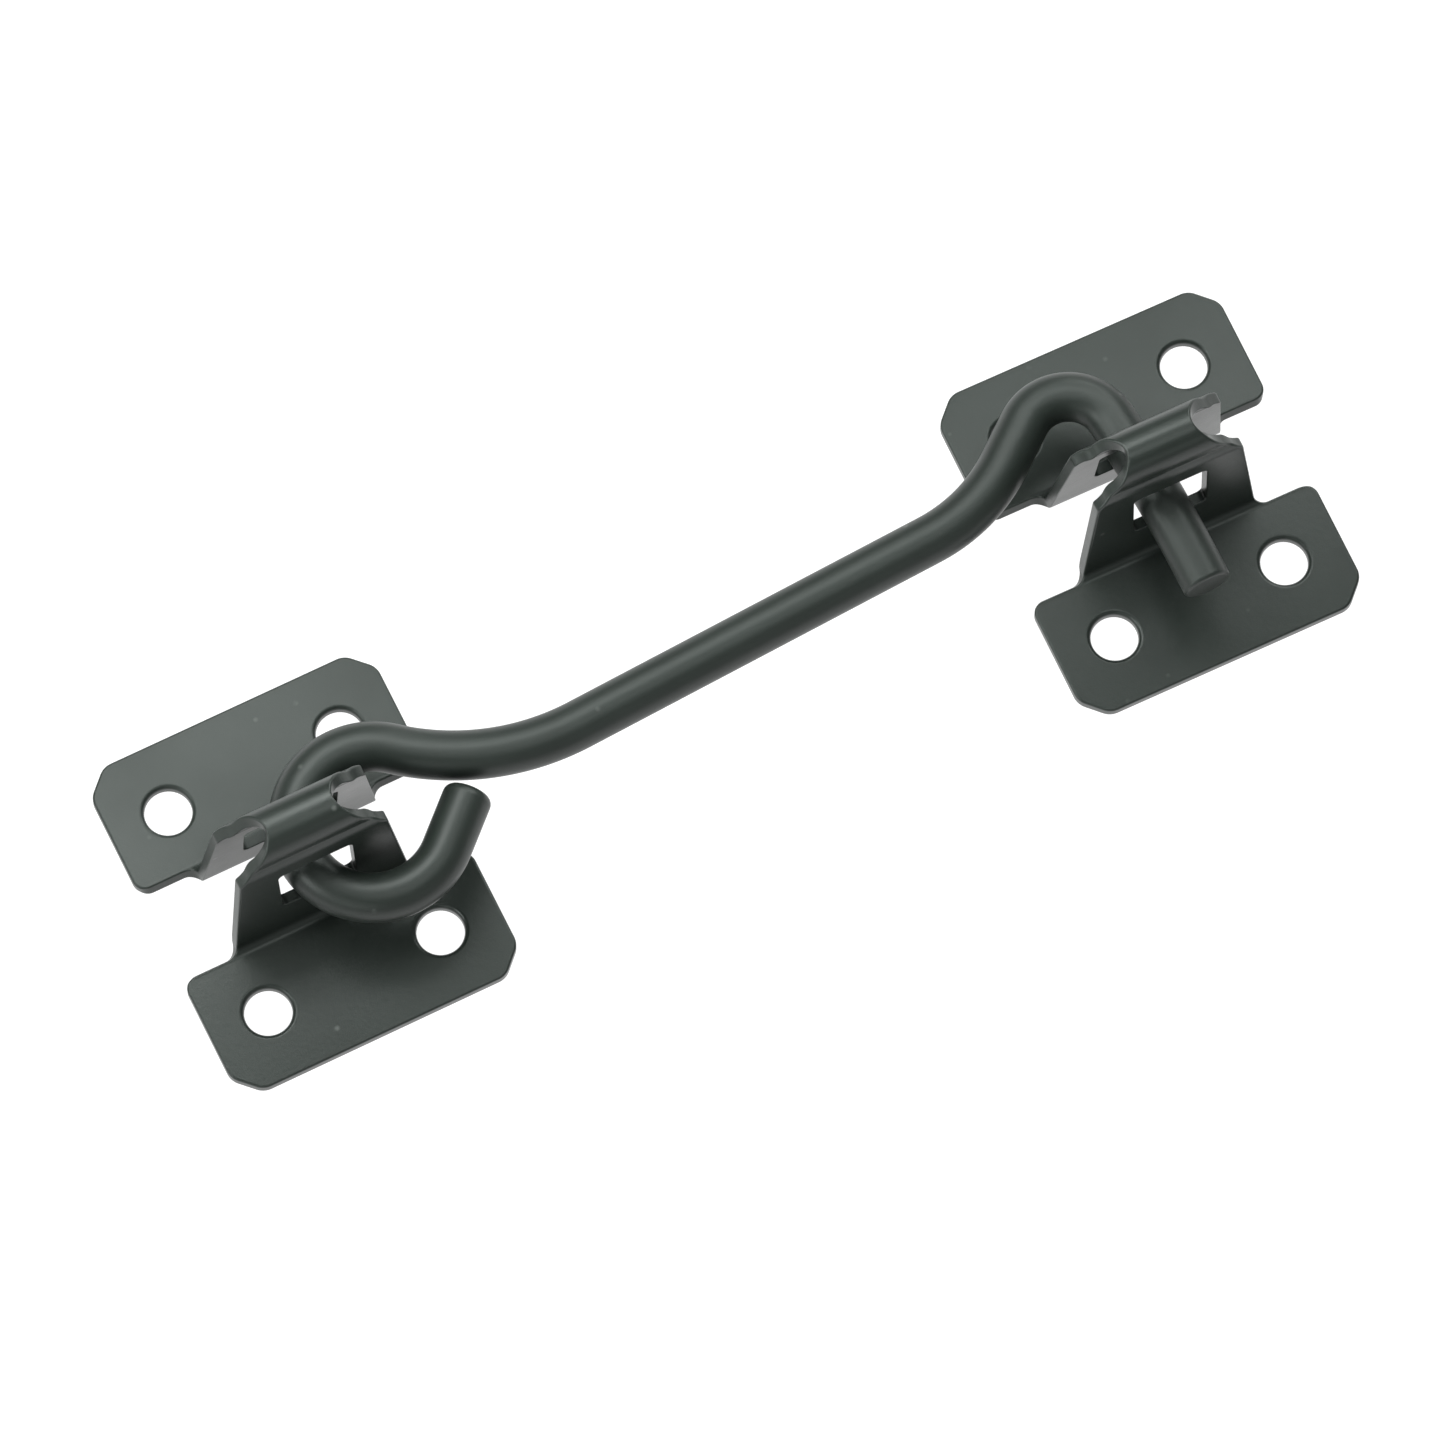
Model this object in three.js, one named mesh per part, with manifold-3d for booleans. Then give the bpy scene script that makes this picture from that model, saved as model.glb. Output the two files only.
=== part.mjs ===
// Wire cabin hook with two pressed staple plates, latched, lying on its mounting plane.
//
// Millimetres, +Z up. The origin is in the middle of the mounting plane (z = 0). +X runs along the two
// staple bridges from the pivot plate to the keeper plate, and +Y is across them.
//
// Three pieces make the object:
//   pivot_plate   sheet steel pressing whose bridge carries the eye of the hook
//   keeper_plate  the same pressing, whose bridge receives the pin of the hook
//   hook          one round steel bar bent into an eye, a shank, a gooseneck and a pin
import * as THREE from 'three';
import * as BufferGeometryUtils from 'three/addons/utils/BufferGeometryUtils.js';
import Module from 'manifold-3d';

const wasm = await Module();
wasm.setup();

const { degToRad } = THREE.MathUtils;

// ---- driving dimensions -----------------------------------------------------------------------------

const SHEET = 1.5;                     // thickness of the pressed sheet
const PLATE_LENGTH = 38;               // along X
const PLATE_WIDTH = 44.8;              // along Y, over both flanges
const PLATE_SPACING = 112.2;           // between the two plates' middles, along X
const PLATE_OFFSET = 2.6;              // between the two plates' middles, along Y
const KEEPER_SKEW = degToRad(-1.15);   // the plates lie a touch out of line with each other

const CORNER_CUT = 3;                  // outer corners of the flanges
const CORNER_ROUND = 2.2;
const INNER_CORNER_ROUND = 1.6;          // corners of the flanges beside the throat
const THROAT_WIDTH = 12;               // gap between the flanges beyond the bridge
const THROAT_ROUND = 1.5;              // fillet where the throat meets the foot of the bridge

const SCREW_HOLE = 5.8;                // diameter
const SCREW_SPACING_X = 22.8;
const SCREW_SPACING_Y = 27.8;

const CROWN_RADIUS = 3.35;             // outside of the bridge's round top
const CROWN_HEIGHT = 24.65;            // of the bridge's highest point
const WALL_LEAN = degToRad(5.2);       // of the bridge's walls, inward towards the crown
const SHOULDER_SLOPE = degToRad(30);   // of the step between wall and crown, from vertical
const FOOT_BEND = 1.95;                // middle radius of the bend from flange to wall
const BRIDGE_FOOT = 23.4;              // length of the bridge at its foot
const BRIDGE_SHOULDER = 19.4;          // and where its end notches begin
const BRIDGE_CROWN = 8.9;              // and along its highest line, between the notches
const SHOULDER_HEIGHT = 19;            // of the lower edge of the end notches
const SHOULDER_ROUND = 0.7;
const NOTCH_ROUND = 1.5;               // blunts the point of the right-angled end notches

const NEAR_WINDOW = 9.7;               // length of the window through the wall on the -Y side
const FAR_WINDOW = 12.3;               // and of the one through the other wall, which the eye crosses aslant
const WINDOW_SILL = 8.3;               // height of the windows' lower edges
const WINDOW_TOP = 17.1;               // and of their upper edges
const WINDOW_ROUND = 0.8;

const BAR = 6;                         // diameter of the hook's bar
const HOOK_HEIGHT = 11.6;              // of its middle plane: the bar all but rests on the window sills
const EYE_FROM_PLATE = [8.8, -1.05];   // eye centre from the pivot plate's middle
const SHANK_ANGLE = degToRad(2.93);    // between the shank and the X axis

const EYE_RADIUS = 9.42;               // middle of the bar
const EYE_END_ANGLE = degToRad(-49.9); // where the round of the eye stops
const EYE_TAIL = 7.8;                  // straight end that closes the eye against the shank
const SHANK_OFFSET = -1.25;            // of the shank's line from the eye's centre
const SHANK_END = 75.3;                // of the straight shank, from the eye's centre
const SWEEP_RADIUS = 31.1;             // reverse bend from eye to shank
const NECK_RADIUS = 21.9;              // rise of the gooseneck
const NECK_TURN = degToRad(35.4);
const NECK_STRAIGHT = 5.7;
const TOP_RADIUS = 6;                  // bend at the top of the gooseneck
const TOP_TURN = degToRad(-123.2);
const PIN_LENGTH = 23.9;
const PIN_TURN = degToRad(-6.5);       // the pin isn't quite straight

const SKEW_SHIFT = [-0.19, 0.15];      // puts the origin back under the middle of the skewed pair

const plateMiddle = {
  pivot: new THREE.Vector2(SKEW_SHIFT[0] - PLATE_SPACING / 2, SKEW_SHIFT[1] + PLATE_OFFSET / 2),
  keeper: new THREE.Vector2(SKEW_SHIFT[0] + PLATE_SPACING / 2, SKEW_SHIFT[1] - PLATE_OFFSET / 2),
};

// ---- helpers ----------------------------------------------------------------------------------------

// A geometry as a closed manifold solid, and back.
function toSolid(geometry) {
  const bare = geometry.clone();
  bare.deleteAttribute('normal');
  bare.deleteAttribute('uv');
  const merged = BufferGeometryUtils.mergeVertices(bare, 1e-5);
  return new wasm.Manifold(new wasm.Mesh({
    numProp: 3,
    vertProperties: new Float32Array(merged.attributes.position.array),
    triVerts: new Uint32Array(merged.index.array),
  }));
}

function toGeometry(solid) {
  const { numProp, vertProperties, triVerts } = solid.getMesh();
  const positions = new Float32Array(vertProperties.length / numProp * 3);
  for (let i = 0; i < positions.length / 3; i++) {
    positions.set(vertProperties.subarray(i * numProp, i * numProp + 3), i * 3);
  }
  const geometry = new THREE.BufferGeometry();
  geometry.setAttribute('position', new THREE.BufferAttribute(positions, 3));
  geometry.setIndex(new THREE.BufferAttribute(new Uint32Array(triVerts), 1));
  geometry.computeVertexNormals();
  return geometry;
}

// A closed outline whose corners are rounded. Each corner is [x, y, radius].
function roundedOutline(corners) {
  const path = new THREE.Path();
  corners.forEach(([x, y, radius], i) => {
    const corner = new THREE.Vector2(x, y);
    const [before, after] = [corners.at(i - 1), corners[(i + 1) % corners.length]]
      .map(([px, py]) => new THREE.Vector2(px, py).sub(corner).normalize());
    const half = before.angleTo(after) / 2;
    const reach = radius / Math.tan(half);
    const start = corner.clone().addScaledVector(before, reach);
    const centre = corner.clone()
      .addScaledVector(before.clone().add(after).normalize(), radius / Math.sin(half));
    const end = corner.clone().addScaledVector(after, reach);
    const angles = [start, end].map((p) => Math.atan2(p.y - centre.y, p.x - centre.x));
    const leftTurn = after.cross(before) > 0;
    if (i === 0) path.moveTo(start.x, start.y);
    else path.lineTo(start.x, start.y);
    path.absarc(centre.x, centre.y, radius, angles[0], angles[1], !leftTurn);
  });
  path.closePath();
  return path;
}

function shapeFrom(points) {
  return new THREE.Shape(points.map(([x, y]) => new THREE.Vector2(x, y)));
}

// ---- the staple plate -------------------------------------------------------------------------------

const half = {
  length: PLATE_LENGTH / 2,
  width: PLATE_WIDTH / 2,
  throat: THROAT_WIDTH / 2,
  foot: BRIDGE_FOOT / 2,
  shoulder: BRIDGE_SHOULDER / 2,
  crown: BRIDGE_CROWN / 2,
};
const crownMiddle = CROWN_RADIUS - SHEET / 2;      // radius of the crown's middle surface
const crownCentre = CROWN_HEIGHT - CROWN_RADIUS;   // height of the crown's axis

// Half of the folded section's middle line, walked from the top of the crown down the wall and out
// along the flange. Each sample is { y, z, heading }, and a heading of 0 points along +Y.
function sectionMiddle() {
  const samples = [];
  const at = { y: 0, z: CROWN_HEIGHT - SHEET / 2, heading: 0 };
  const mark = () => samples.push({ ...at });
  const forward = (distance) => {
    at.y += distance * Math.cos(at.heading);
    at.z += distance * Math.sin(at.heading);
    mark();
  };
  const bend = (radius, turn, steps) => {
    const chord = 2 * radius * Math.sin(Math.abs(turn) / steps / 2);
    for (let i = 0; i < steps; i++) {
      at.heading += turn / steps / 2;
      at.y += chord * Math.cos(at.heading);
      at.z += chord * Math.sin(at.heading);
      at.heading += turn / steps / 2;
      mark();
    }
  };
  mark();
  bend(crownMiddle, -Math.PI / 2 - degToRad(3), 9);
  bend(1.8, SHOULDER_SLOPE + degToRad(3), 3);
  bend(2.5, WALL_LEAN - SHOULDER_SLOPE, 3);
  const bendTop = SHEET / 2 + FOOT_BEND * (1 - Math.sin(WALL_LEAN));
  forward((at.z - bendTop) / Math.cos(WALL_LEAN));
  bend(FOOT_BEND, Math.PI / 2 - WALL_LEAN, 6);
  forward(half.width - at.y);
  return samples;
}

// The whole folded section as an outline in the Y-Z plane.
function sectionShape() {
  const middle = sectionMiddle();
  const side = (offset, sign) => middle.map(({ y, z, heading }) => [
    sign * (y - offset * Math.sin(heading)),
    z + offset * Math.cos(heading),
  ]);
  const t = SHEET / 2;
  return shapeFrom([
    ...side(t, -1).reverse(), ...side(t, 1).slice(1),
    ...side(-t, 1).reverse(), ...side(-t, -1).slice(1),
  ]);
}

// The bridge's ends seen from the side, in the X-Z plane: a sloping wall edge, and above it a notch that
// is a blunt right angle in the flat sheet, before the crown is bent.
function sideShape() {
  const NOTCH_STEPS = 12;
  const quarter = crownMiddle * Math.PI / 2;
  const notchReach = quarter + crownCentre - SHOULDER_HEIGHT;   // along the sheet, from the top line
  const notch = [];
  for (let i = 0; i <= NOTCH_STEPS; i++) {
    const along = notchReach * i / NOTCH_STEPS;
    const x = half.crown + Math.hypot(along, NOTCH_ROUND) - NOTCH_ROUND;
    const z = along < quarter
      ? crownCentre + crownMiddle * Math.cos(along / crownMiddle)
      : crownCentre - (along - quarter);
    notch.push([x, z]);
  }
  const fillet = [];
  for (let i = 0; i <= 4; i++) {
    const angle = degToRad(180 + i * 22.5);
    fillet.push([
      half.foot + THROAT_ROUND * (1 + Math.cos(angle)),
      SHEET + THROAT_ROUND * (1 + Math.sin(angle)),
    ]);
  }
  const right = [
    [half.crown, CROWN_HEIGHT + 1], ...notch,
    [half.shoulder, SHOULDER_HEIGHT - SHOULDER_ROUND], ...fillet,
    [half.length + 1, SHEET], [half.length + 1, -1],
  ];
  const left = right.map(([x, z]) => [-x, z]).reverse();
  return shapeFrom([...right, ...left]);
}

// The flat outline seen from above, with the open throats at both ends and the screw holes.
function planShape() {
  const quadrant = [
    [half.foot, 0, 0.01], [half.foot, half.throat, THROAT_ROUND],
    [half.length, half.throat, INNER_CORNER_ROUND],
    [half.length, half.width - CORNER_CUT, CORNER_ROUND],
    [half.length - CORNER_CUT, half.width, CORNER_ROUND],
  ];
  const mirror = (list, sx, sy) => list.map(([x, y, r]) => [sx * x, sy * y, r]);
  const outline = [
    ...quadrant.slice(1), ...mirror(quadrant.slice(1), -1, 1).reverse(),
    ...mirror(quadrant.slice(1), -1, -1), ...mirror(quadrant.slice(1), 1, -1).reverse(),
  ];
  const shape = new THREE.Shape(roundedOutline(outline).getPoints(4));
  for (const sx of [-1, 1]) {
    for (const sy of [-1, 1]) {
      const hole = new THREE.Path();
      hole.absarc(sx * SCREW_SPACING_X / 2, sy * SCREW_SPACING_Y / 2, SCREW_HOLE / 2, 0, 2 * Math.PI);
      shape.holes.push(hole);
    }
  }
  return shape;
}

// A shape drawn in one plane and pushed through the plate along the remaining axis.
function throughPlate(shape, axis, depth) {
  const geometry = new THREE.ExtrudeGeometry(shape, { depth, bevelEnabled: false, curveSegments: 14 });
  geometry.translate(0, 0, -depth / 2);
  if (axis === 'x') {
    geometry.rotateX(Math.PI / 2).rotateZ(Math.PI / 2);
  }
  if (axis === 'y') {
    geometry.rotateX(Math.PI / 2);
  }
  return toSolid(geometry);
}

// The cutter for the window in one wall: side is -1 for the near wall and 1 for the far one.
function windowCutter(side, length) {
  const outline = roundedOutline([
    [-length / 2, WINDOW_SILL, WINDOW_ROUND], [length / 2, WINDOW_SILL, WINDOW_ROUND],
    [length / 2, WINDOW_TOP, WINDOW_ROUND], [-length / 2, WINDOW_TOP, WINDOW_ROUND],
  ]);
  return throughPlate(new THREE.Shape(outline.getPoints(3)), 'y', THROAT_WIDTH)
    .translate([0, side * THROAT_WIDTH / 2, 0]);
}

function staplePlate() {
  const folded = throughPlate(sectionShape(), 'x', PLATE_LENGTH);
  const solid = folded
    .intersect(throughPlate(sideShape(), 'y', PLATE_WIDTH + 2))
    .intersect(throughPlate(planShape(), 'z', 3 * CROWN_HEIGHT))
    .subtract(windowCutter(-1, NEAR_WINDOW))
    .subtract(windowCutter(1, FAR_WINDOW));
  return toGeometry(solid);
}

// ---- the hook ---------------------------------------------------------------------------------------

// A bend of a bar that lies in the X-Y plane.
class PlanarBend extends THREE.Curve {
  constructor(centre, radius, startAngle, endAngle) {
    super();
    Object.assign(this, { centre, radius, startAngle, endAngle });
  }

  getPoint(t, target = new THREE.Vector3()) {
    const angle = THREE.MathUtils.lerp(this.startAngle, this.endAngle, t);
    return target.set(
      this.centre.x + this.radius * Math.cos(angle),
      this.centre.y + this.radius * Math.sin(angle),
      0,
    );
  }
}

// The bar's middle line, from the free end of the eye to the tip of the pin. The eye's centre is at the
// origin and the shank runs along +X.
function hookPath() {
  const sweepY = SHANK_OFFSET + SWEEP_RADIUS;
  const sweepX = Math.sqrt((EYE_RADIUS + SWEEP_RADIUS) ** 2 - sweepY ** 2);
  const sweepAngle = Math.atan2(sweepY, sweepX);
  const origin = new THREE.Vector3();
  const path = new THREE.CurvePath();

  const eyeStart = new PlanarBend(origin, EYE_RADIUS, EYE_END_ANGLE, sweepAngle - 2 * Math.PI);
  const tailFoot = eyeStart.getPoint(0);
  const tailTip = tailFoot.clone().add(new THREE.Vector3(
    -Math.sin(EYE_END_ANGLE), Math.cos(EYE_END_ANGLE), 0,
  ).multiplyScalar(EYE_TAIL));
  path.add(new THREE.LineCurve3(tailTip, tailFoot));
  path.add(eyeStart);
  const sweepCentre = new THREE.Vector3(sweepX, sweepY, 0);
  path.add(new PlanarBend(sweepCentre, SWEEP_RADIUS, sweepAngle + Math.PI, 1.5 * Math.PI));

  const at = { point: new THREE.Vector3(sweepX, SHANK_OFFSET, 0), heading: 0 };
  const forward = (distance) => {
    const next = at.point.clone().add(new THREE.Vector3(
      distance * Math.cos(at.heading), distance * Math.sin(at.heading), 0,
    ));
    path.add(new THREE.LineCurve3(at.point, next));
    at.point = next;
  };
  const bend = (radius, turn) => {
    const side = Math.sign(turn);
    const centre = new THREE.Vector3(
      at.point.x - side * radius * Math.sin(at.heading),
      at.point.y + side * radius * Math.cos(at.heading),
      0,
    );
    const start = at.heading - side * Math.PI / 2;
    const arc = new PlanarBend(centre, radius, start, start + turn);
    path.add(arc);
    at.point = arc.getPoint(1);
    at.heading += turn;
  };
  forward(SHANK_END - sweepX);
  bend(NECK_RADIUS, NECK_TURN);
  forward(NECK_STRAIGHT);
  bend(TOP_RADIUS, TOP_TURN);
  bend(PIN_LENGTH / Math.abs(PIN_TURN), PIN_TURN);
  return path;
}

function hookGeometry() {
  const section = new THREE.Shape();
  section.absarc(0, 0, BAR / 2, 0, 2 * Math.PI);
  const path = hookPath();
  path.arcLengthDivisions = 2000;
  return new THREE.ExtrudeGeometry(section, {
    extrudePath: path,
    steps: 150,
    curveSegments: 10,
    bevelEnabled: false,
  });
}

// ---- assembly ---------------------------------------------------------------------------------------

function namedMesh(name, geometry, look) {
  const mesh = new THREE.Mesh(geometry, new THREE.MeshStandardMaterial(look));
  mesh.name = name;
  return mesh;
}

const PLATE_LOOK = { color: 0x50544f, roughness: 0.42, metalness: 0.25 };
const HOOK_LOOK = { color: 0x474b48, roughness: 0.38, metalness: 0.25 };

const cabinHook = new THREE.Group();

for (const role of ['pivot', 'keeper']) {
  const plate = namedMesh(`${role}_plate`, staplePlate(), PLATE_LOOK);
  plate.position.set(plateMiddle[role].x, plateMiddle[role].y, 0);
  plate.rotation.z = role === 'keeper' ? KEEPER_SKEW : 0;
  cabinHook.add(plate);
}

const hook = namedMesh('hook', hookGeometry(), HOOK_LOOK);
hook.position.set(
  plateMiddle.pivot.x + EYE_FROM_PLATE[0],
  plateMiddle.pivot.y + EYE_FROM_PLATE[1],
  HOOK_HEIGHT,
);
hook.rotation.z = SHANK_ANGLE;
cabinHook.add(hook);

export default cabinHook;
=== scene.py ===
"""A wire cabin hook lying latched in its two pressed staple plates, satin black, on a white table.

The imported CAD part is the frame. Its three nodes are replaced by finer meshes of the same sizes: two
plates folded from a punched blank, with rolled edges, and one bar swept along its bends.
Sizes are in millimetres and are turned into metres where a mesh is made. The table's and the lights'
sizes are in metres.
"""
import math

import bpy
import numpy as np
from mathutils import Matrix, Vector
from mathutils.geometry import delaunay_2d_cdt


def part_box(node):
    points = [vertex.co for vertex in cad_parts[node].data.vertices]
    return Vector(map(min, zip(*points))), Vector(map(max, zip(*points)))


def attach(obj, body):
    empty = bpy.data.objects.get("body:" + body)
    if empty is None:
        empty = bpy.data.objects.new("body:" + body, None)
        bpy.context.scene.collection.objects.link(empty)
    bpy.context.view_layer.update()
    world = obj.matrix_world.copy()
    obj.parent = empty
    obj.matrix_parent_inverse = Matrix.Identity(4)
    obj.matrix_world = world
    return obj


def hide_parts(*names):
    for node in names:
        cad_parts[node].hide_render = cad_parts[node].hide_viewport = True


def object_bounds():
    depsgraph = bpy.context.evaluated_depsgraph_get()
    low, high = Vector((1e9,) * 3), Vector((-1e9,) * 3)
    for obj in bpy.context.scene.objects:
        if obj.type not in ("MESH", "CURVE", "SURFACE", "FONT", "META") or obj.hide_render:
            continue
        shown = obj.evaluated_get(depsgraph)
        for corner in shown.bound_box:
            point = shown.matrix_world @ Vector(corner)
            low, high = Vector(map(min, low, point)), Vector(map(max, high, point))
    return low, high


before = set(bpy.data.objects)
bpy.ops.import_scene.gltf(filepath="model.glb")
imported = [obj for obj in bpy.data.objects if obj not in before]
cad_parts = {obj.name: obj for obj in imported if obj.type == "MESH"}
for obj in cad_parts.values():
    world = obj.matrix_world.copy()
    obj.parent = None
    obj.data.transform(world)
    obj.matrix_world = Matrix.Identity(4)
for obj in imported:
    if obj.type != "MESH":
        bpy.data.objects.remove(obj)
cad_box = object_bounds()

MM = 0.001

# ---- the staple plates --------------------------------------------------------------------------------

SHEET = 1.5
PLATE_LENGTH = 38.0
PLATE_WIDTH = 44.8
KEEPER_SKEW = math.radians(-1.15)

CORNER_CUT = 3.0
CORNER_ROUND = 2.4
THROAT_EDGE = 6.0               # half the gap between the flanges beyond the bridge
THROAT_ROUND = 1.6
INNER_CORNER_ROUND = 1.8

SCREW_HOLE = 5.8
SCREW_SPACING = (22.8, 27.8)

CROWN_RADIUS = 3.35
CROWN_HEIGHT = 24.65
CROWN_TURN = math.radians(93)
WALL_LEAN = math.radians(5.2)
SHOULDER_SLOPE = math.radians(30)
SHOULDER_BENDS = (1.8, 2.5)     # radii of the step's two bends
FOOT_BEND = 1.95
BRIDGE_FOOT = 23.4              # the bridge's length at its foot
BRIDGE_SHOULDER = 19.4
BRIDGE_CROWN = 8.9              # and between the notches in its ends
NOTCH_ROUND = 1.5
NOTCH_ROOM = 3                  # points left out of the notch's edge, so that the shoulder's rounding fits
SHOULDER_ROUND = 0.7

WINDOW_LENGTH = {-1: 9.7, 1: 12.3}      # through the wall on the -Y side, and through the other
WINDOW_SILL = 8.3
WINDOW_TOP = 17.1
WINDOW_ROUND = 0.8

EDGE_ROLL = 0.3                 # rounding of the punched edges' upper side
HOLE_ROLL = 0.62                # and of the screw holes' rims
BACK_ROLL = 0.12                # and of every edge's under side
WINDOW_ROLL = 0.16

# ---- the hook -----------------------------------------------------------------------------------------

BAR = 6.0
HOOK_HEIGHT = 11.6
EYE_FROM_PLATE = (8.8, -1.05)   # the eye's middle, from the middle of the pivot plate
SHANK_ANGLE = math.radians(2.93)
EYE_RADIUS = 9.42
EYE_END_ANGLE = math.radians(-49.9)
EYE_TAIL = 7.8
SHANK_OFFSET = -1.25            # of the shank's line from the eye's middle
SHANK_END = 75.3
SWEEP_RADIUS = 31.1             # of the bend between the eye and the shank
NECK_RADIUS = 21.9
NECK_TURN = math.radians(35.4)
NECK_STRAIGHT = 5.7
TOP_RADIUS = 6.0
TOP_TURN = math.radians(-123.2)
PIN_LENGTH = 23.9
PIN_TURN = math.radians(-6.5)   # the pin isn't quite straight
PIN_EDGE = 0.5                  # rounding of the pin's tip
TAIL_EDGE = 1.2                 # rounding of the eye's free end

# ---- meshing ------------------------------------------------------------------------------------------

FINE = 0.16                     # point spacing where the sheet is bent
COARSE = 1.2                    # and where it is flat
END_TOLERANCE = 1e-6            # how near to 1 the last step along an edge counts as its end
CROWDED = 0.4 * FINE            # an edge's last point is dropped when it is this close to the next corner
CLEAR_OF_EDGE = 0.55 * FINE     # and a grid point when it is this close to an outline
ARC_STEP = math.radians(9)
LEAST_ARC_STEPS = 4
HOLE_SIDES = 72
GRID_COLUMNS = 32
MERGE_DISTANCE = 1e-7
ROLL_STEPS = 4
BACK_ROLL_STEPS = 2
BAR_SIDES = 56
BAR_STEP = 0.5
CAP_STEPS = 6
CAP_RINGS = (0.8, 0.55, 0.3, 0.1)       # radii of the flat end's rings, as parts of the flat's own radius
CAP_MARGIN = 0.1                # between the end caps and the nearest ring of the plain bar

# ---- finish -------------------------------------------------------------------------------------------

# A noise is its scale (per metre), its detail and its offset. A range is what a ramp takes in.
CLOUDS = (70, 3, 1.0)
BLOTCHES = (420, 4, 2.0)
WEAR = (900, 5, 3.0)
PEEL = (1500, 2, 4.0)
GRAIN = (7000, 3, 5.0)
HAZE_SCALE = 26
HAZE_DETAIL = 1

CLOUD_RANGE = (0.3, 0.7)
BLOTCH_RANGE = (0.3, 0.7)
WEAR_RANGE = (0.45, 0.75)
HAZE_RANGE = (0.35, 0.65)

WEAR_MOST = 0.45                # how far the worn colour comes through on a rim
WORN_LIGHTER = 1.2
BLOTCH_GLOSS = 0.012            # roughness that the blotches add or take away
COATING_IOR = 1.5
PEEL_STRENGTH = 0.25
PEEL_DEPTH = 0.00005
GRAIN_STRENGTH = 0.5
GRAIN_DEPTH = 0.000016

SPECK_CELLS = 230               # cells per metre, of which some hold a speck of dust
SPECK_SIZE = (0.03, 0.10)       # where a speck begins to fade and where it ends, in cells
SPECK_CHOICE = (0.60, 0.64)     # cells below the first value hold none
SPECK_BLOTCHES = (0.4, 0.6)
SPECK_COVER = (0.15, 0.7)
SPECK_COLOUR = (0.12, 0.125, 0.12)

# Darker and lighter colour, roughness, how far the haze spreads it, the haze's offset, and the seed
PLATE_FINISH = ((0.0160, 0.0205, 0.0176), (0.0220, 0.0272, 0.0242), 0.35, 0.06, 6.0, 11.0)
BAR_FINISH = ((0.0142, 0.0182, 0.0156), (0.0190, 0.0240, 0.0210), 0.41, 0.02, 6.0, 23.0)

# ---- table and lights, in metres ----------------------------------------------------------------------

TABLE_SIZE = 6.0
TABLE_GAP = 0.0001              # below the object, so that the two surfaces don't coincide
TABLE_GREY = 0.2
TABLE_ROUGHNESS = 0.9
TABLE_GLOW = 1.0

OBJECT_MIDDLE = (0, 0, 0)

# Soft lights: name, place, the point they face, width and depth, and power in watts. The last two hang
# close above the object.
SOFTBOXES = (
    ("overhead", (0.04, 0.17, 0.55), OBJECT_MIDDLE, (0.34, 0.38), 0.22),
    ("back_high", (0.0, 0.37, 0.47), OBJECT_MIDDLE, (0.40, 0.25), 0.75),
    ("front_high", (0.04, -0.12, 0.55), OBJECT_MIDDLE, (0.34, 0.20), 0.45),
    ("back_right", (0.375, 0.375, 0.28), OBJECT_MIDDLE, (0.30, 0.20), 0.75),
    ("left_low", (-0.53, 0.0, 0.28), OBJECT_MIDDLE, (0.30, 0.20), 1.10),
    ("front_left", (-0.375, -0.375, 0.28), OBJECT_MIDDLE, (0.30, 0.20), 0.30),
    ("front_low", (0.10, -0.50, 0.28), OBJECT_MIDDLE, (0.30, 0.20), 0.10),
    ("left_high", (-0.32, 0.17, 0.52), OBJECT_MIDDLE, (0.12, 0.20), 0.30),
    ("right_high", (0.39, 0.17, 0.49), OBJECT_MIDDLE, (0.12, 0.20), 0.50),
    ("near_strip", (0.0, 0.032, 0.085), (0.0, 0.002, 0), (0.24, 0.02), 0.050),
    ("near_left", (-0.07, 0.09, 0.17), (-0.07, 0.06, 0), (0.09, 0.07), 0.060),
)
LIGHT_COLOUR = (0.93, 1.0, 0.965)
WORLD_STRENGTH = 0.2

# ---- camera, in millimetres ---------------------------------------------------------------------------

VIEW_TILT = math.radians(-16.04)        # off the plates' normal, towards -Y
VIEW_LEAN = math.radians(-8.48)         # and towards -X
VIEW_ROLL = math.radians(24.99)
VIEW_DISTANCE = 1274.8
VIEW_SHIFT = (0.25, 5.26)               # of the object in the view plane
VIEW_CENTRE = (-0.18, 1.45)             # the point on the mounting plane that the view is taken about
FOCAL = 263.6
SENSOR = 36.0
CLIP = (0.05, 20)                       # in metres, as Blender takes it


def along(heading):
    """The 2-D unit vector of a heading."""
    return np.array([math.cos(heading), math.sin(heading)])


def left_of(heading):
    """The 2-D unit vector square to a heading, on its left."""
    return np.array([-math.sin(heading), math.cos(heading)])


def about_z(angle):
    """The rotation matrix of a turn about the Z axis."""
    c, s = math.cos(angle), math.sin(angle)
    return np.array([[c, -s, 0], [s, c, 0], [0, 0, 1]])


def make_object(name, vertices, faces, normals, rims, material):
    """One closed smooth mesh, in metres, with its own normals and a rim value at each vertex, which
    is 1 on the outside of a rounded edge and 0 away from the edges."""
    mesh = bpy.data.meshes.new(name)
    mesh.from_pydata([tuple(v * MM) for v in vertices], [], faces)
    mesh.validate()
    mesh.polygons.foreach_set("use_smooth", [True] * len(mesh.polygons))
    attribute = mesh.attributes.new("rim", "FLOAT", "POINT")
    attribute.data.foreach_set("value", np.asarray(rims, np.float32))
    mesh.normals_split_custom_set_from_vertices([tuple(n) for n in normals])
    mesh.materials.append(material)
    obj = bpy.data.objects.new(name, mesh)
    bpy.context.scene.collection.objects.link(obj)
    return obj


# ---- plate: the fold ----------------------------------------------------------------------------------


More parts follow.
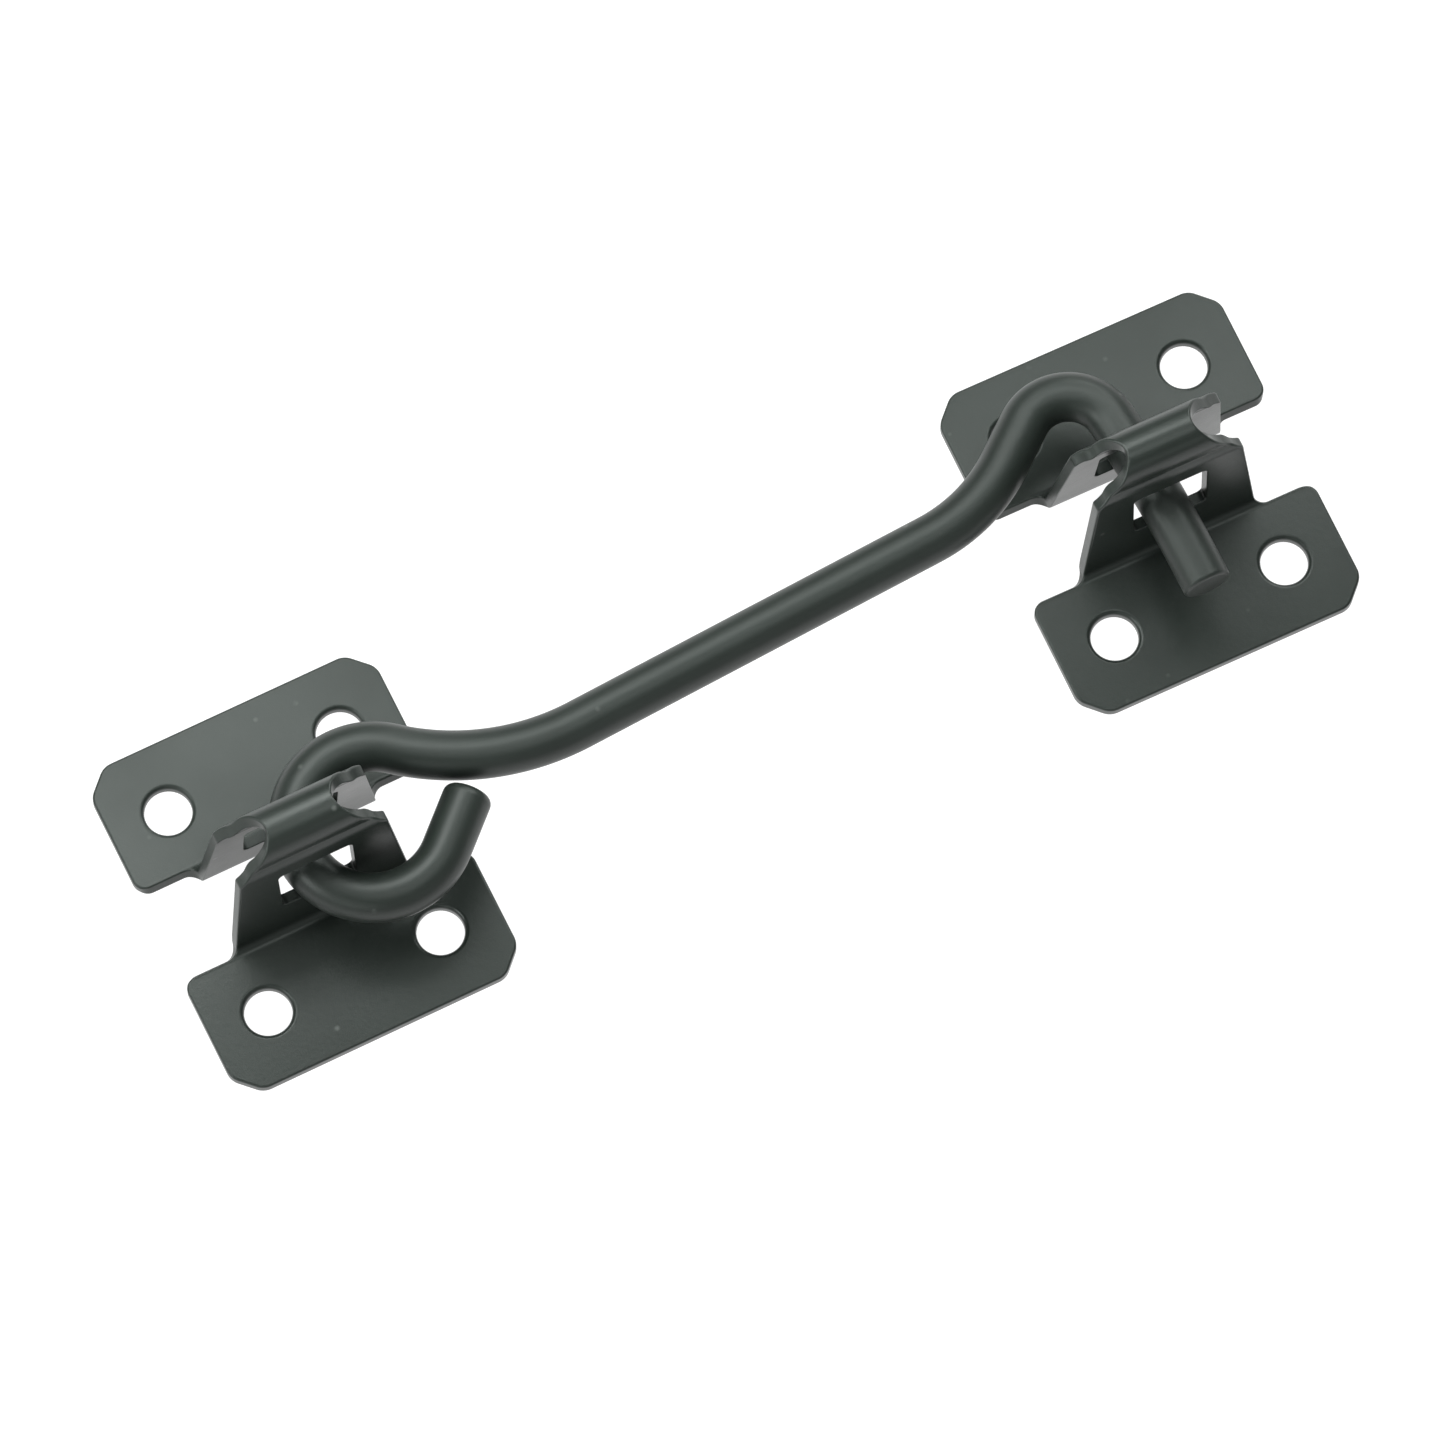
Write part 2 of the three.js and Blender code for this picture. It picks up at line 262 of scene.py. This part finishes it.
class Fold:
    """Half of the folded section's middle line, from the crown's highest line outward.

    It maps a distance s along the flat blank to a point (y, z) and to the heading there.
    """

    def __init__(self):
        self.rows = []
        self.at = [0.0, 0.0, CROWN_HEIGHT - SHEET / 2, 0.0]     # s, y, z, heading
        self.bend(CROWN_RADIUS - SHEET / 2, -CROWN_TURN)
        self.bend(SHOULDER_BENDS[0], CROWN_TURN - math.pi / 2 + SHOULDER_SLOPE)
        self.bend(SHOULDER_BENDS[1], WALL_LEAN - SHOULDER_SLOPE)
        self.wall_start = self.at[0]
        bend_top = SHEET / 2 + FOOT_BEND * (1 - math.sin(WALL_LEAN))
        self.line((self.at[2] - bend_top) / math.cos(WALL_LEAN))
        self.wall_end = self.at[0]
        self.bend(FOOT_BEND, math.pi / 2 - WALL_LEAN)
        self.flange_start = self.at[0]
        self.line(PLATE_WIDTH / 2 - self.at[1])
        self.end = self.at[0]
        self.table = np.array(self.rows)

    def line(self, length):
        """A straight stretch."""
        s, y, z, h = self.at
        self.rows.append([s, y, z, h, 0.0])
        self.at = [s + length, y + length * math.cos(h), z + length * math.sin(h), h]

    def bend(self, radius, turn):
        """An arc. A turn above 0 raises the heading."""
        s, y, z, h = self.at
        curvature = math.copysign(1 / radius, turn)
        self.rows.append([s, y, z, h, curvature])
        end = h + turn
        self.at = [
            s + radius * abs(turn),
            y + (math.sin(end) - math.sin(h)) / curvature,
            z - (math.cos(end) - math.cos(h)) / curvature,
            end,
        ]

    def __call__(self, s):
        """y, z and heading at each s, for the half with s above 0."""
        row = np.clip(np.searchsorted(self.table[:, 0], s, side="right") - 1, 0, None)
        s0, y0, z0, h0, k = self.table[row].T
        bent = np.abs(k) > 0
        safe = np.where(bent, k, 1.0)
        h = h0 + k * (s - s0)
        y = np.where(bent, y0 + (np.sin(h) - np.sin(h0)) / safe, y0 + (s - s0) * np.cos(h0))
        z = np.where(bent, z0 - (np.cos(h) - np.cos(h0)) / safe, z0 + (s - s0) * np.sin(h0))
        return y, z, h

    def s_at_height(self, z):
        """Where the straight wall is at that height."""
        top = self(np.array([self.wall_start]))[1][0]
        return self.wall_start + (top - z) / math.cos(WALL_LEAN)

    def s_at_reach(self, y):
        """Where the flange is at that distance from the plate's middle."""
        return self.end - (PLATE_WIDTH / 2 - y)


FOLD = Fold()


def folded(x, s, height):
    """Blank points (x, s), standing height off the middle surface, as 3-D points, with the sheet's
    normals and the direction of growing s."""
    side = np.where(s < 0, -1.0, 1.0)
    y, z, h = FOLD(np.abs(s))
    normal = np.stack([np.zeros_like(y), -np.sin(h) * side, np.cos(h)], 1)
    outward_s = np.stack([np.zeros_like(y), np.cos(h), np.sin(h) * side], 1)
    point = np.stack([x, y * side, z], 1) + normal * height[:, None]
    return point, normal, outward_s


# ---- plate: the blank ---------------------------------------------------------------------------------


def spacing_at(s):
    """Point spacing along the blank: fine in the bends and coarse on flat stretches."""
    s = abs(s)
    in_bend = s < FOLD.wall_start or FOLD.wall_end < s < FOLD.flange_start
    return FINE if in_bend else COARSE


def divided(a, b):
    """Points from a up to, not including, b, close together where the sheet bends."""
    a, b = np.array(a), np.array(b)
    length = np.linalg.norm(b - a)
    points, t = [], 0.0
    while t < 1 - END_TOLERANCE:
        p = a + (b - a) * t
        points.append(p)
        ahead = a + (b - a) * min(1.0, t + FINE / length)
        t += min(spacing_at(p[1]), spacing_at(ahead[1])) / length
    if len(points) > 1 and np.linalg.norm(b - points[-1]) < CROWDED:
        points.pop()
    return points


def rounded_loop(corners):
    """A closed outline as points. Each corner is (x, s, radius); a corner with radius 0 stays as it is."""
    ends = []
    for i, (x, s, radius) in enumerate(corners):
        p = np.array([x, s])
        before = np.array(corners[i - 1][:2]) - p
        after = np.array(corners[(i + 1) % len(corners)][:2]) - p
        before, after = before / np.linalg.norm(before), after / np.linalg.norm(after)
        if radius == 0:
            ends.append([p])
            continue
        half = math.acos(np.clip(before @ after, -1, 1)) / 2
        reach = radius / math.tan(half)
        middle = before + after
        centre = p + middle / np.linalg.norm(middle) * radius / math.sin(half)
        start, end = p + before * reach - centre, p + after * reach - centre
        turn = math.pi - 2 * half
        steps = max(LEAST_ARC_STEPS, round(turn * radius / FINE), round(turn / ARC_STEP))
        arc = [
            (start * math.sin(turn * (1 - k / steps)) + end * math.sin(turn * k / steps)) / math.sin(turn)
            for k in range(steps + 1)
        ]
        ends.append([centre + a for a in arc])
    points = []
    for i, corner in enumerate(ends):
        points += corner[:-1] if len(corner) > 1 else []
        points += divided(corner[-1], ends[(i + 1) % len(ends)][0])
    return np.array(points)


def notch_edge():
    """The end notch's edge, from the crown's highest line to the shoulder: a right angle in the flat
    blank, with a blunted point."""
    reach = math.sqrt(((BRIDGE_SHOULDER - BRIDGE_CROWN) / 2 + NOTCH_ROUND) ** 2 - NOTCH_ROUND ** 2)
    count = round(reach / FINE)
    return [
        (BRIDGE_CROWN / 2 + math.hypot(s, NOTCH_ROUND) - NOTCH_ROUND, s)
        for s in np.linspace(0, reach, count + 1)
    ]


def outer_loop():
    """The blank's outline, anticlockwise from the crown's end on the +X side."""
    throat = FOLD.s_at_reach(THROAT_EDGE)
    notch = notch_edge()
    quadrant = [(x, s, 0) for x, s in notch[1:-NOTCH_ROOM]]
    quadrant += [
        (BRIDGE_SHOULDER / 2, notch[-1][1], SHOULDER_ROUND),
        (BRIDGE_FOOT / 2, throat, THROAT_ROUND),
        (PLATE_LENGTH / 2, throat, INNER_CORNER_ROUND),
        (PLATE_LENGTH / 2, FOLD.end - CORNER_CUT, CORNER_ROUND),
        (PLATE_LENGTH / 2 - CORNER_CUT, FOLD.end, CORNER_ROUND),
    ]

    def mirrored(sx, ss):
        return [(sx * x, ss * s, r) for x, s, r in quadrant]

    tip = notch[0][0]
    return rounded_loop(
        [(tip, 0.0, 0)] + quadrant + mirrored(-1, 1)[::-1]
        + [(-tip, 0.0, 0)] + mirrored(-1, -1) + mirrored(1, -1)[::-1]
    )


def window_loop(side):
    """The window in one wall, clockwise. side is -1 or 1, as the wall's side of the bridge."""
    half = WINDOW_LENGTH[side] / 2
    low, high = sorted(side * FOLD.s_at_height(z) for z in (WINDOW_SILL, WINDOW_TOP))
    corners = [(-half, low), (-half, high), (half, high), (half, low)]
    return rounded_loop([(x, s, WINDOW_ROUND) for x, s in corners])


def hole_loop(sx, ss):
    """One screw hole, clockwise."""
    middle = np.array([sx * SCREW_SPACING[0] / 2, ss * FOLD.s_at_reach(SCREW_SPACING[1] / 2)])
    turn = -2 * math.pi * np.arange(HOLE_SIDES) / HOLE_SIDES
    return middle + SCREW_HOLE / 2 * np.stack([np.cos(turn), np.sin(turn)], 1)


def outward(loop):
    """The outline's normals in the blank, away from the material."""
    ahead = np.roll(loop, -1, 0) - loop
    ahead /= np.linalg.norm(ahead, axis=1)[:, None]
    tangent = ahead + np.roll(ahead, 1, 0)
    tangent /= np.linalg.norm(tangent, axis=1)[:, None]
    return np.stack([tangent[:, 1], -tangent[:, 0]], 1)


def inside(points, loop):
    """Which points are inside a closed outline."""
    a, b = loop, np.roll(loop, -1, 0)
    x, y = points[:, :1], points[:, 1:]
    crosses = (a[:, 1] > y) != (b[:, 1] > y)
    rise = np.where(b[:, 1] == a[:, 1], 1.0, b[:, 1] - a[:, 1])
    at = (b[:, 0] - a[:, 0]) * (y - a[:, 1]) / rise + a[:, 0]
    return np.sum(crosses & (x < at), 1) % 2 == 1


def far_from(points, loops):
    """Which points aren't crowding an outline."""
    edge = np.concatenate(loops)
    return np.array([np.min(np.sum((edge - p) ** 2, 1)) > CLEAR_OF_EDGE ** 2 for p in points])


def grid_rows():
    """The blank's rows of constant s."""
    rows, s = [0.0], 0.0
    while s < FOLD.end:
        s += min(spacing_at(s), spacing_at(s + FINE))
        rows.append(s)
    rows = [r for r in rows if r < FOLD.end]
    return sorted(set([-r for r in rows] + rows))


def triangulated(loops):
    """The blank between its outlines, as 2-D points, of which the outlines' come first, and triangles."""
    step = PLATE_LENGTH / GRID_COLUMNS
    columns = np.arange(-PLATE_LENGTH / 2, PLATE_LENGTH / 2 + step / 2, step)
    grid = np.array([(x, s) for s in grid_rows() for x in columns])
    grid = grid[inside(grid, loops[0])]
    for hole in loops[1:]:
        grid = grid[~inside(grid, hole)]
    grid = grid[far_from(grid, loops)]
    edge = np.concatenate(loops)
    links, start = [], 0
    for loop in loops:
        n = len(loop)
        links += [(start + i, start + (i + 1) % n) for i in range(n)]
        start += n
    points = np.concatenate([edge, grid])
    made = delaunay_2d_cdt([Vector(p) for p in points], links, [], 0, MERGE_DISTANCE)
    found, triangles, origin = made[0], made[2], made[3]
    assert len(found) == len(points), "the outlines cross"
    order = np.array([o[0] for o in origin])
    triangles = order[np.array(triangles)]
    middles = points[triangles].mean(1)
    keep = inside(middles, loops[0])
    for hole in loops[1:]:
        keep &= ~inside(middles, hole)
    return points, triangles[keep]


# ---- plate: the solid ---------------------------------------------------------------------------------


def rim_profile(roll):
    """From the upper face over a punched edge to the under face: (inset, height, angle of the normal)."""
    profile = []
    for k in range(ROLL_STEPS + 1):
        a = math.pi / 2 * k / ROLL_STEPS
        profile.append((roll * (1 - math.sin(a)), SHEET / 2 - roll * (1 - math.cos(a)), a))
    for k in range(BACK_ROLL_STEPS + 1):
        a = math.pi / 2 * (1 + k / BACK_ROLL_STEPS)
        profile.append((BACK_ROLL * (1 - math.sin(a)), -SHEET / 2 + BACK_ROLL * (1 + math.cos(a)), a))
    return profile


def staple_plate_mesh():
    """Vertices, faces, normals and rim values of one plate, around its own middle."""
    outlines = [(outer_loop(), EDGE_ROLL)]
    outlines += [(window_loop(side), WINDOW_ROLL) for side in (-1, 1)]
    outlines += [(hole_loop(sx, ss), HOLE_ROLL) for sx in (-1, 1) for ss in (-1, 1)]
    vertices, normals, rims, faces = [], [], [], []
    count = 0

    def add(points, height, angle, out, rim):
        """Blank points at one height become vertices, and the first one's index is given back."""
        nonlocal count
        p, n, outward_s = folded(points[:, 0], points[:, 1], np.full(len(points), height))
        across = np.zeros_like(p)
        across[:, 0] = out[:, 0]
        across += outward_s * out[:, 1:]
        vertices.append(p)
        normals.append(n * math.cos(angle) + across * math.sin(angle))
        rims.append(np.full(len(points), rim))
        count += len(points)
        return count - len(points)

    # both faces, triangulated between the outlines drawn in by each edge's rounding
    first_rows = {}
    for height, angle, back in ((SHEET / 2, 0.0, False), (-SHEET / 2, math.pi, True)):
        loops = [
            loop - outward(loop) * (BACK_ROLL if back else roll) for loop, roll in outlines
        ]
        points, triangles = triangulated(loops)
        start = add(points, height, angle, np.zeros((len(points), 2)), 0.0)
        a, b, c = points[triangles[0]]
        clockwise = (b[0] - a[0]) * (c[1] - a[1]) - (b[1] - a[1]) * (c[0] - a[0]) < 0
        wound = triangles[:, ::-1] if back != clockwise else triangles
        faces += (wound + start).tolist()
        offsets = np.cumsum([0] + [len(loop) for loop in loops])
        first_rows[back] = [start + o for o in offsets[:-1]]

    # the rolled edges between them
    for i, (loop, roll) in enumerate(outlines):
        out, n = outward(loop), len(loop)
        rows = [first_rows[False][i]]
        for inset, height, angle in rim_profile(roll)[1:-1]:
            rows.append(add(loop - out * inset, height, angle, out, math.sin(angle)))
        rows.append(first_rows[True][i])
        for upper, lower in zip(rows, rows[1:]):
            faces += [
                (upper + k, lower + k, lower + (k + 1) % n, upper + (k + 1) % n) for k in range(n)
            ]
    return np.concatenate(vertices), faces, np.concatenate(normals), np.concatenate(rims)


def staple_plate(name, node, skew, data, material):
    """A plate standing where its CAD node is."""
    low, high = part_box(node)
    middle = np.array([(low.x + high.x) / 2, (low.y + high.y) / 2, 0]) / MM
    turn = about_z(skew)
    vertices, faces, normals, rims = data
    return make_object(name, vertices @ turn.T + middle, faces, normals @ turn.T, rims, material)


# ---- hook ---------------------------------------------------------------------------------------------


class BarPath:
    """The bar's middle line in its own plane, as points and headings."""

    def __init__(self, start, heading):
        self.points = [np.array(start, float)]
        self.headings = [heading]

    def line(self, length):
        """A straight stretch."""
        h = self.headings[-1]
        steps = max(1, round(length / BAR_STEP))
        start = self.points[-1]
        for k in range(1, steps + 1):
            self.points.append(start + length * k / steps * along(h))
            self.headings.append(h)

    def bend(self, radius, turn):
        """An arc. A turn above 0 is to the left."""
        h0, side = self.headings[-1], math.copysign(1, turn)
        centre = self.points[-1] + side * radius * left_of(h0)
        steps = max(2, round(radius * abs(turn) / BAR_STEP))
        for k in range(1, steps + 1):
            h = h0 + turn * k / steps
            self.points.append(centre - side * radius * left_of(h))
            self.headings.append(h)


def hook_path():
    """From the eye's free end, round the eye, along the shank and over the gooseneck to the pin's tip."""
    sweep_y = SHANK_OFFSET + SWEEP_RADIUS
    sweep_x = math.sqrt((EYE_RADIUS + SWEEP_RADIUS) ** 2 - sweep_y ** 2)
    sweep_angle = math.atan2(sweep_y, sweep_x)
    foot = EYE_RADIUS * along(EYE_END_ANGLE)
    heading = EYE_END_ANGLE - math.pi / 2                  # clockwise round the eye
    path = BarPath(foot - EYE_TAIL * along(heading), heading)
    path.line(EYE_TAIL)
    path.bend(EYE_RADIUS, sweep_angle - 2 * math.pi - EYE_END_ANGLE)
    path.bend(SWEEP_RADIUS, math.pi / 2 - sweep_angle)
    path.line(SHANK_END - sweep_x)
    path.bend(NECK_RADIUS, NECK_TURN)
    path.line(NECK_STRAIGHT)
    path.bend(TOP_RADIUS, TOP_TURN)
    path.bend(PIN_LENGTH / abs(PIN_TURN), PIN_TURN)
    return path


def end_rings(edge):
    """Rings that close the bar: (distance from the end, radius, angle of the normal towards the end)."""
    rings = []
    for k in range(CAP_STEPS + 1):
        a = math.pi / 2 * k / CAP_STEPS
        rings.append((edge * (1 - math.sin(a)), BAR / 2 - edge * (1 - math.cos(a)), a))
    flat = BAR / 2 - edge
    return rings + [(0.0, flat * part, math.pi / 2) for part in CAP_RINGS]


def hook_bar(name, material):
    """The bar as one swept mesh with rounded ends."""
    path = hook_path()
    points, headings = np.array(path.points), np.array(path.headings)
    travelled = np.concatenate([[0], np.cumsum(np.linalg.norm(np.diff(points, axis=0), axis=1))])
    total = travelled[-1]

    # a ring is its centre, heading, radius, lean of its normals and rim value
    def cap(end, heading, direction, edge):
        made = []
        for back, radius, lean in end_rings(edge):
            centre = end - direction * back * along(heading)
            made.append((centre, heading, radius, direction * lean, math.sin(lean)))
        return made

    rings = cap(points[0], headings[0], -1, TAIL_EDGE)[::-1]
    for p, h, t in zip(points, headings, travelled):
        if TAIL_EDGE + CAP_MARGIN < t < total - PIN_EDGE - CAP_MARGIN:
            rings.append((p, h, BAR / 2, 0.0, 0.0))
    rings += cap(points[-1], headings[-1], 1, PIN_EDGE)

    around = 2 * math.pi * np.arange(BAR_SIDES) / BAR_SIDES
    vertices, normals, rims, faces = [], [], [], []
    for centre, h, radius, lean, rim in rings:
        side = np.array([*left_of(h), 0])
        ahead = np.array([*along(h), 0])
        out = np.cos(around)[:, None] * side + np.sin(around)[:, None] * np.array([0, 0, 1.0])
        vertices.append(np.array([*centre, 0]) + out * radius)
        normals.append(out * math.cos(lean) + ahead * math.sin(lean))
        rims.append(np.full(BAR_SIDES, rim))
    for i in range(len(rings) - 1):
        a, b = i * BAR_SIDES, (i + 1) * BAR_SIDES
        faces += [
            (a + k, a + (k + 1) % BAR_SIDES, b + (k + 1) % BAR_SIDES, b + k) for k in range(BAR_SIDES)
        ]
    faces.append(tuple(range(BAR_SIDES))[::-1])
    last = (len(rings) - 1) * BAR_SIDES
    faces.append(tuple(range(last, last + BAR_SIDES)))

    low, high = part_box("pivot_plate")
    eye = np.array([
        (low.x + high.x) / 2 / MM + EYE_FROM_PLATE[0],
        (low.y + high.y) / 2 / MM + EYE_FROM_PLATE[1],
        HOOK_HEIGHT,
    ])
    turn = about_z(SHANK_ANGLE)
    return make_object(
        name, np.concatenate(vertices) @ turn.T + eye, faces, np.concatenate(normals) @ turn.T,
        np.concatenate(rims), material,
    )


# ---- materials ----------------------------------------------------------------------------------------


def satin_coating(name, dark, light, roughness, spread, haze_place, seed):
    """Satin black coating: faint orange peel and grain, cloudy gloss, dust specks, thin on the edges."""
    material = bpy.data.materials.new(name)
    material.use_nodes = True
    nodes, links = material.node_tree.nodes, material.node_tree.links
    nodes.clear()

    def node(kind, **settings):
        n = nodes.new(kind)
        for key, value in settings.items():
            setattr(n, key, value)
        return n

    def noise(scale, detail, offset):
        shift = node("ShaderNodeMapping")
        shift.inputs["Location"].default_value = (offset + seed, 2 * offset - seed, seed)
        n = node("ShaderNodeTexNoise")
        n.inputs["Scale"].default_value = scale
        n.inputs["Detail"].default_value = detail
        links.new(place.outputs["Object"], shift.inputs["Vector"])
        links.new(shift.outputs["Vector"], n.inputs["Vector"])
        return n.outputs["Fac"]

    def ramp(value, low_high, to_low=0.0, to_high=1.0):
        n = node("ShaderNodeMapRange")
        n.inputs["From Min"].default_value, n.inputs["From Max"].default_value = low_high
        n.inputs["To Min"].default_value, n.inputs["To Max"].default_value = to_low, to_high
        links.new(value, n.inputs["Value"])
        return n.outputs["Result"]

    def combined(operation, a, b):
        n = node("ShaderNodeMath", operation=operation)
        links.new(a, n.inputs[0])
        links.new(b, n.inputs[1])
        return n.outputs[0]

    def bump(height, strength, depth):
        n = node("ShaderNodeBump")
        n.inputs["Strength"].default_value = strength
        n.inputs["Distance"].default_value = depth
        links.new(height, n.inputs["Height"])
        return n

    # Mix keeps its two colours in inputs 6 and 7, and their mixture in output 2
    def mixed(amount, a, b):
        n = node("ShaderNodeMix", data_type="RGBA")
        links.new(amount, n.inputs[0])
        for value, socket in ((a, n.inputs[6]), (b, n.inputs[7])):
            if isinstance(value, tuple):
                socket.default_value = (*value, 1)
            else:
                links.new(value, socket)
        return n.outputs[2]

    place = node("ShaderNodeTexCoord")
    rim = node("ShaderNodeAttribute", attribute_name="rim").outputs["Fac"]

    blotches = noise(*BLOTCHES)
    colour = mixed(ramp(noise(*CLOUDS), CLOUD_RANGE), dark, light)
    worn = combined("MULTIPLY", rim, ramp(noise(*WEAR), WEAR_RANGE, 0.0, WEAR_MOST))
    colour = mixed(worn, colour, tuple(WORN_LIGHTER * c for c in light))

    cells = node("ShaderNodeTexVoronoi", feature="F1")
    cells.inputs["Scale"].default_value = SPECK_CELLS
    links.new(place.outputs["Object"], cells.inputs["Vector"])
    chosen = node("ShaderNodeSeparateColor")
    links.new(cells.outputs["Color"], chosen.inputs["Color"])
    spot = ramp(cells.outputs["Distance"], SPECK_SIZE, 1, 0)
    speck = combined("MULTIPLY", spot, ramp(chosen.outputs[0], SPECK_CHOICE))
    cover = combined("MULTIPLY", speck, ramp(blotches, SPECK_BLOTCHES, *SPECK_COVER))
    colour = mixed(cover, colour, SPECK_COLOUR)

    haze = noise(HAZE_SCALE, HAZE_DETAIL, haze_place)
    gloss = combined(
        "ADD",
        ramp(blotches, BLOTCH_RANGE, -BLOTCH_GLOSS, BLOTCH_GLOSS),
        ramp(haze, HAZE_RANGE, roughness + spread, roughness - spread),
    )

    peel = bump(noise(*PEEL), PEEL_STRENGTH, PEEL_DEPTH)
    grain = bump(noise(*GRAIN), GRAIN_STRENGTH, GRAIN_DEPTH)
    links.new(peel.outputs["Normal"], grain.inputs["Normal"])

    shader = node("ShaderNodeBsdfPrincipled")
    shader.inputs["IOR"].default_value = COATING_IOR
    links.new(colour, shader.inputs["Base Color"])
    links.new(gloss, shader.inputs["Roughness"])
    links.new(grain.outputs["Normal"], shader.inputs["Normal"])
    output = node("ShaderNodeOutputMaterial")
    links.new(shader.outputs["BSDF"], output.inputs["Surface"])
    return material


def table_material():
    """A white table that glows, so that nothing but white shows round the object."""
    material = bpy.data.materials.new("white_table")
    material.use_nodes = True
    shader = material.node_tree.nodes["Principled BSDF"]
    shader.inputs["Base Color"].default_value = (TABLE_GREY, TABLE_GREY, TABLE_GREY, 1)
    shader.inputs["Roughness"].default_value = TABLE_ROUGHNESS
    shader.inputs["Specular IOR Level"].default_value = 0.0
    shader.inputs["Emission Color"].default_value = (1, 1, 1, 1)
    shader.inputs["Emission Strength"].default_value = TABLE_GLOW
    return material


# ---- stage, light and camera --------------------------------------------------------------------------


def table():
    """The table's flat top, just below the object."""
    half = TABLE_SIZE / 2
    corners = [(-half, -half, 0), (half, -half, 0), (half, half, 0), (-half, half, 0)]
    mesh = bpy.data.meshes.new("table")
    mesh.from_pydata(corners, [], [(0, 1, 2, 3)])
    mesh.materials.append(table_material())
    obj = bpy.data.objects.new("table", mesh)
    obj.location.z = cad_box[0].z - TABLE_GAP
    bpy.context.scene.collection.objects.link(obj)


def softbox(name, place, aim, size, power):
    """A rectangular soft light that faces a point and isn't seen itself."""
    data = bpy.data.lights.new(name, "AREA")
    data.shape = "RECTANGLE"
    data.size, data.size_y = size
    data.energy = power
    data.color = LIGHT_COLOUR
    obj = bpy.data.objects.new(name, data)
    obj.location = place
    obj.rotation_mode = "QUATERNION"
    obj.rotation_quaternion = (Vector(aim) - obj.location).to_track_quat("-Z", "Y")
    obj.visible_camera = False
    bpy.context.scene.collection.objects.link(obj)


def lights():
    """The soft lights and a faint even light from everywhere."""
    for box in SOFTBOXES:
        softbox(*box)
    world = bpy.data.worlds.new("studio")
    world.use_nodes = True
    background = world.node_tree.nodes["Background"]
    background.inputs["Color"].default_value = (*LIGHT_COLOUR, 1)
    background.inputs["Strength"].default_value = WORLD_STRENGTH
    bpy.context.scene.world = world


def camera():
    """The photograph's view: nearly square on to the plates, from far away, turned in the frame."""
    n = Vector((
        math.sin(VIEW_LEAN),
        math.sin(VIEW_TILT) * math.cos(VIEW_LEAN),
        math.cos(VIEW_TILT) * math.cos(VIEW_LEAN),
    ))
    level = (Vector((1, 0, 0)) - n * n.x).normalized()
    upright = n.cross(level)
    c, s = math.cos(VIEW_ROLL), math.sin(VIEW_ROLL)
    right, up = level * c - upright * s, level * s + upright * c
    data = bpy.data.cameras.new("camera")
    data.sensor_width = SENSOR
    data.lens = FOCAL
    data.clip_start, data.clip_end = CLIP
    obj = bpy.data.objects.new("camera", data)
    centre = Vector((*VIEW_CENTRE, 0))
    place = (centre - right * VIEW_SHIFT[0] - up * VIEW_SHIFT[1] + n * VIEW_DISTANCE) * MM
    rotation = Matrix((right, up, n)).transposed()
    obj.matrix_world = Matrix.Translation(place) @ rotation.to_4x4()
    bpy.context.scene.collection.objects.link(obj)
    bpy.context.scene.camera = obj


# ---- assembly -----------------------------------------------------------------------------------------


def assemble():
    """The three pieces, each riding on its body in place of its CAD node."""
    plate_coating = satin_coating("satin_black_on_sheet", *PLATE_FINISH)
    hook_coating = satin_coating("satin_black_on_bar", *BAR_FINISH)
    data = staple_plate_mesh()
    pieces = {
        "pivot": staple_plate("pivot_staple_plate", "pivot_plate", 0.0, data, plate_coating),
        "keeper": staple_plate("keeper_staple_plate", "keeper_plate", KEEPER_SKEW, data, plate_coating),
        "hook": hook_bar("hook_bar", hook_coating),
    }
    for body, node, finish in (
        ("pivot", "pivot_plate", "plate_coating"),
        ("keeper", "keeper_plate", "plate_coating"),
        ("hook", "hook", "hook_coating"),
    ):
        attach(pieces[body], body)
        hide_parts(node)


assemble()
table()
lights()
camera()
bpy.context.scene.view_settings.view_transform = "Standard"
